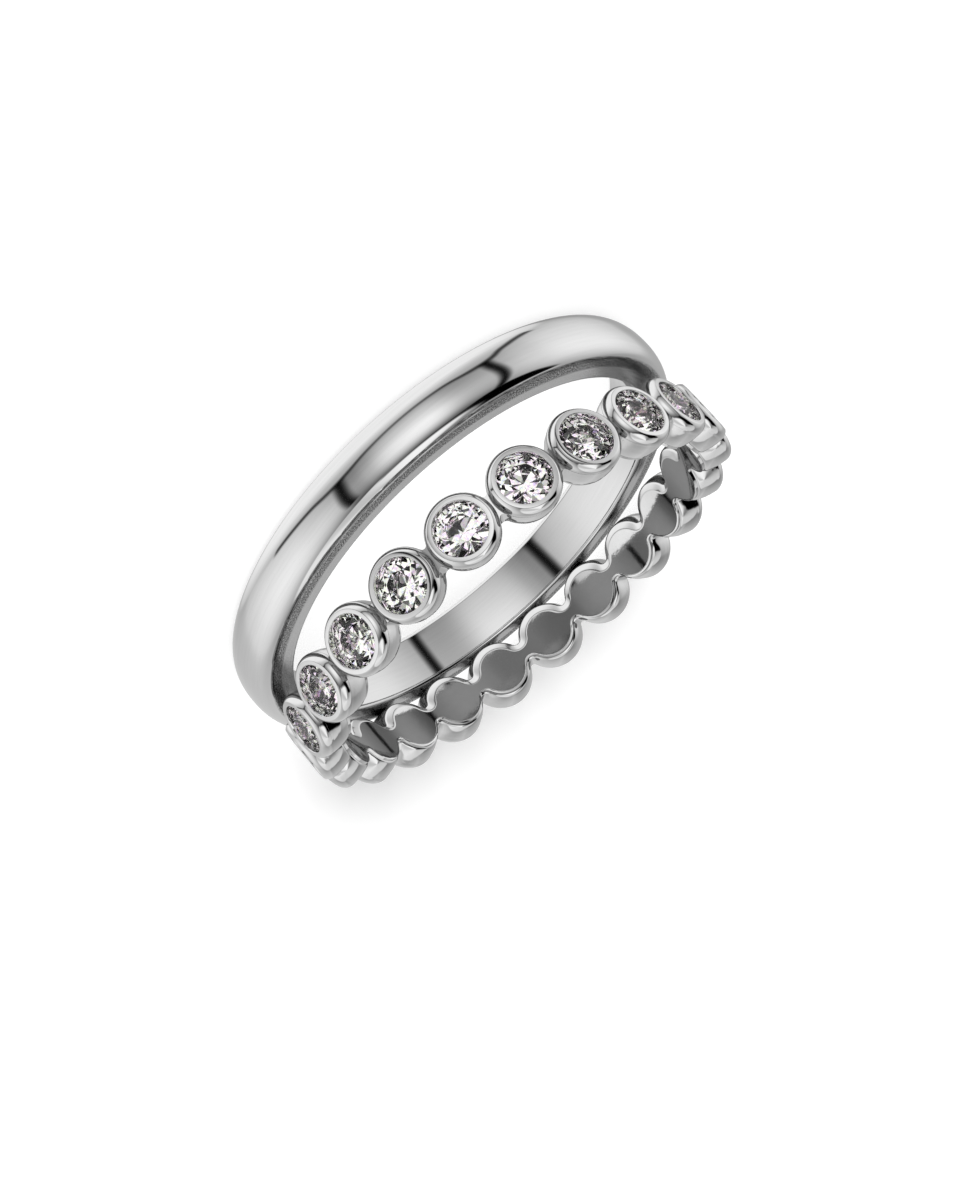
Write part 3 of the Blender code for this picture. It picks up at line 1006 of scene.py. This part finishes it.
def studio_world(scene):
    """A light tent: glowing walls with dark seams, a bright ground, and a ceiling behind a dark gap.

    A reflection of a reflection is dimmer. The stones also see dark patches, and the hole that the camera
    looks through. The camera itself sees plain white.
    """
    stage = scene.ring_stage
    world = bpy.data.worlds.new("light_tent")
    world.use_nodes = True
    world.node_tree.nodes.clear()
    direction, turn, height = tent_directions(world)
    wall = tent_walls(world, turn, height)
    ground = tent_ground(world, turn, height, wall)
    tent = tent_ceiling(world, turn, height, ground)
    # A ray that meets the world has depth 1 straight from the camera, 2 after one reflection, 3 after two.
    path = add_node(world, "ShaderNodeLightPath")
    again = add_node(
        world, "ShaderNodeMath", {"operation": "GREATER_THAN"}, {0: path.outputs["Ray Depth"], 1: 2.5}
    )
    open_air = add_node(
        world, "ShaderNodeMath", {"operation": "LESS_THAN"}, {0: path.outputs["Transmission Depth"], 1: 0.5}
    )
    glow = add_node(world, "ShaderNodeMath", {"operation": "POWER"}, {0: tent, 1: TONE_POWER})
    second = add_node(
        world, "ShaderNodeMath", {"operation": "MULTIPLY"}, {0: again.outputs[0], 1: open_air.outputs[0]}
    )
    gain = add_node(
        world, "ShaderNodeMapRange", {},
        {"Value": second.outputs[0], "To Min": FIRST_GAIN, "To Max": REPEAT_GAIN},
    )
    glow = add_node(
        world, "ShaderNodeMath", {"operation": "MULTIPLY"}, {0: glow.outputs[0], 1: gain.outputs["Result"]}
    )

    place = Matrix.Rotation(stage.azimuth, 4, "Z") @ Matrix.Rotation(math.pi / 2 - stage.elevation, 4, "X")
    hole = add_node(
        world, "ShaderNodeVectorMath", {"operation": "DOT_PRODUCT"},
        {0: direction, 1: place @ Vector((0, 0, 1))},
    )
    outside = add_node(
        world, "ShaderNodeMapRange", {"interpolation_type": "SMOOTHSTEP"},
        {
            "Value": hole.outputs["Value"],
            "From Min": math.cos(stage.hole + stage.hole_blur),
            "From Max": math.cos(stage.hole - stage.hole_blur),
            "To Min": 1.0,
            "To Max": 0.03,
        },
    )
    # Patches of about 6 degrees, dark and bright, which give the facets their sparkle.
    clutter = add_node(world, "ShaderNodeTexNoise", {}, {"Vector": direction, "Scale": 10.0, "Detail": 1.0})
    patches = add_node(
        world, "ShaderNodeMapRange", {"interpolation_type": "SMOOTHSTEP"},
        {"Value": clutter.outputs["Fac"], "From Min": 0.40, "From Max": 0.52, "To Min": 0.03, "To Max": 1.4},
    )
    through = add_node(
        world, "ShaderNodeMath", {"operation": "MULTIPLY"},
        {0: outside.outputs["Result"], 1: patches.outputs["Result"]},
    )
    seen = add_node(
        world, "ShaderNodeMix", {"data_type": "FLOAT"},
        {"Factor": open_air.outputs[0], "A": through.outputs[0], "B": 1.0},
    )
    glow = add_node(
        world, "ShaderNodeMath", {"operation": "MULTIPLY"}, {0: glow.outputs[0], 1: seen.outputs["Result"]}
    )
    glow = add_node(
        world, "ShaderNodeMath", {"operation": "MAXIMUM"},
        {0: glow.outputs[0], 1: path.outputs["Is Camera Ray"]},
    )
    light = add_node(world, "ShaderNodeBackground", {}, {"Color": glow.outputs[0], "Strength": 1.0})
    add_node(world, "ShaderNodeOutputWorld", {}, {"Surface": light.outputs["Background"]})
    scene.world = world


class RING_OT_stage(bpy.types.Operator):
    """Lay the floor and set the light and the camera"""

    bl_idname = "ring.stage"
    bl_label = "Stage"

    def execute(self, context):
        scene = context.scene
        stage = scene.ring_stage
        bpy.ops.object.select_all(action="DESELECT")
        bpy.ops.mesh.primitive_plane_add(size=stage.floor_size)
        floor = bpy.context.object
        floor.name = "floor"
        paint(floor, white_acrylic(stage.floor_glow))
        floor.visible_glossy = False
        floor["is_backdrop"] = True
        studio_world(scene)
        lamp = bpy.data.objects.new("key_light", bpy.data.lights.new("key_light", "SUN"))
        scene.collection.objects.link(lamp)
        lamp.data.energy = stage.key_strength
        lamp.data.angle = stage.key_spread
        lamp.rotation_euler = (0, stage.key_lean, stage.key_turn)
        lamp.visible_glossy = False
        lamp.visible_transmission = False
        self.limit_shadow(lamp)
        camera = bpy.data.objects.new("camera", bpy.data.cameras.new("camera"))
        scene.collection.objects.link(camera)
        camera.data.lens = stage.lens
        camera.data.sensor_width = 36
        camera.data.clip_start = 0.001
        camera.matrix_world = (
            Matrix.Translation((stage.aim_x, stage.aim_y, stage.aim_z))
            @ Matrix.Rotation(stage.azimuth, 4, "Z")
            @ Matrix.Rotation(math.pi / 2 - stage.elevation, 4, "X")
            @ Matrix.Rotation(stage.roll, 4, "Z")
            @ Matrix.Translation((0, 0, stage.distance))
        )
        scene.camera = camera
        scene.view_settings.view_transform = "Standard"
        scene.cycles.max_bounces = 16
        scene.cycles.transmission_bounces = 16
        scene.cycles.glossy_bounces = 8
        return {"FINISHED"}

    def limit_shadow(self, lamp):
        """Let the cups of the far side and of the +X end cast the key light's shadow, not those in front."""
        reach = bpy.context.scene.ring_stage.shadow_reach
        casters = bpy.data.collections.new("shadow_casters")
        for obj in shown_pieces():
            if obj.name.startswith("cup_"):
                middle = sum((Vector(corner) for corner in obj.bound_box), Vector()) / 8
                if middle.y > 0 or (middle.x > 0 and middle.y > -reach):
                    casters.objects.link(obj)
        lamp.light_linking.blocker_collection = casters


PROPERTY_GROUPS = {
    "ring_band": BandSizes,
    "ring_row": RowSizes,
    "ring_cup": CupSizes,
    "ring_stone": StoneSizes,
    "ring_stage": StageSizes,
}
OPERATORS = (
    RING_OT_plain_band,
    RING_OT_gallery,
    RING_OT_cups,
    RING_OT_stones,
    RING_OT_materials,
    RING_OT_stage,
)


class RING_PT_sidebar(bpy.types.Panel):
    bl_label = "Two-Band Ring"
    bl_idname = "RING_PT_sidebar"
    bl_space_type = "VIEW_3D"
    bl_region_type = "UI"
    bl_category = "Ring"

    def draw(self, context):
        for name, group in PROPERTY_GROUPS.items():
            sizes = getattr(context.scene, name)
            column = self.layout.column(align=True)
            for key in group.__annotations__:
                column.prop(sizes, key)
        for operator in OPERATORS:
            self.layout.operator(operator.bl_idname)


def register():
    for name, group in PROPERTY_GROUPS.items():
        bpy.utils.register_class(group)
        setattr(bpy.types.Scene, name, bpy.props.PointerProperty(type=group))
    for operator in OPERATORS:
        bpy.utils.register_class(operator)
    bpy.utils.register_class(RING_PT_sidebar)


def unregister():
    bpy.utils.unregister_class(RING_PT_sidebar)
    for operator in reversed(OPERATORS):
        bpy.utils.unregister_class(operator)
    for name, group in PROPERTY_GROUPS.items():
        delattr(bpy.types.Scene, name)
        bpy.utils.unregister_class(group)


def main():
    register()
    bpy.ops.object.select_all(action="DESELECT")
    bpy.ops.ring.plain_band()
    bpy.ops.ring.gallery()
    bpy.ops.ring.cups()
    bpy.ops.ring.stones()
    bpy.ops.ring.materials()
    bpy.ops.ring.stage()


if __name__ == "__main__":
    main()
